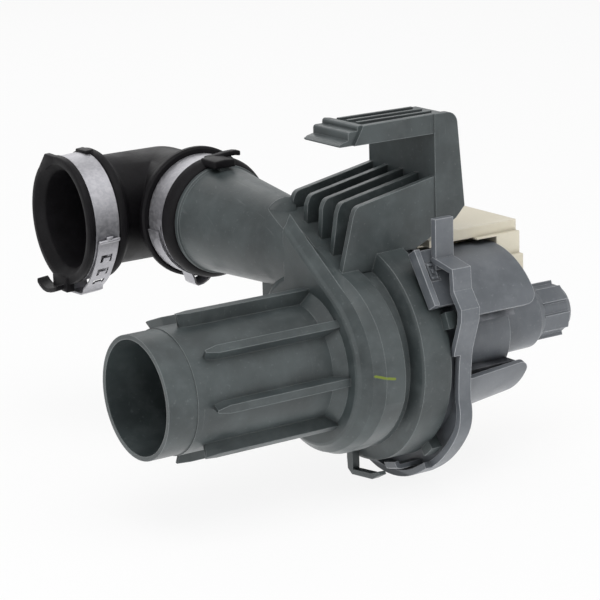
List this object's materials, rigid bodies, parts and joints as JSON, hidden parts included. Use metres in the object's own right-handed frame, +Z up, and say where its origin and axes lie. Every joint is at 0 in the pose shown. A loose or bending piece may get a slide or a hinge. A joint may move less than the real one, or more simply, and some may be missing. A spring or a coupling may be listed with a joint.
{
  "type": "circulation pump",
  "caption": "Washing appliance circulation pump: ribbed inlet spigot, scroll with comb bracket, can motor with coil cover, and a clamped rubber outlet elbow.",
  "frame": {"origin": "centre of the inlet mouth", "axes": "+X along the pump axis from the inlet mouth to the motor, +Y along the discharge away from the scroll, +Z up, the side of the comb bracket"},
  "size_m": [0.186, 0.1823, 0.1324],
  "materials": {
    "volute_plastic": "moulded, satin",
    "carrier_plastic": "moulded, satin",
    "rubber_black": "moulded rubber, soft sheen",
    "clamp_steel": "zinc coated",
    "cover_plastic": "moulded, satin",
    "seal_rubber": "smooth",
    "inner_plastic": "moulded",
    "impeller_plastic": "moulded",
    "bearing_carbon": "sintered",
    "shaft_steel": "ground",
    "washer_ceramic": "ground",
    "magnet_ferrite": "sintered",
    "core_steel": "laminated sheet",
    "bobbin_plastic": "moulded",
    "coil_copper": "enamelled copper wire",
    "terminal_metal": "tinned"
  },
  "bodies": {
    "housing": {"volute_housing": "volute_plastic", "motor_carrier": "carrier_plastic", "housing_seal": "seal_rubber", "wear_ring": "inner_plastic", "bearing_plate": "inner_plastic", "front_bearing_cup": "seal_rubber", "front_bearing": "bearing_carbon", "rear_bearing_cup": "seal_rubber", "rear_bearing": "bearing_carbon", "stator_core": "core_steel", "core_rivets": "shaft_steel", "upper_bobbin": "bobbin_plastic", "lower_bobbin": "bobbin_plastic", "upper_coil": "coil_copper", "lower_coil": "coil_copper", "coil_cover": "cover_plastic", "terminal_blades": "terminal_metal", "outlet_elbow": "rubber_black", "outlet_clamp": "clamp_steel", "discharge_clamp": "clamp_steel"},
    "rotor": {"rotor_shaft": "shaft_steel", "rotor_magnet": "magnet_ferrite", "rotor_jacket": "inner_plastic", "impeller": "impeller_plastic", "impeller_shroud": "impeller_plastic", "impeller_nut": "shaft_steel", "front_thrust_washer": "washer_ceramic", "rear_thrust_washer": "washer_ceramic"}
  },
  "joints": [
    {"name": "rotor_spin", "type": "hinge", "parent": "housing", "child": "rotor", "pos_m": [0, 0, 0], "axis": [1, 0, 0], "continuous": true}
  ]
}
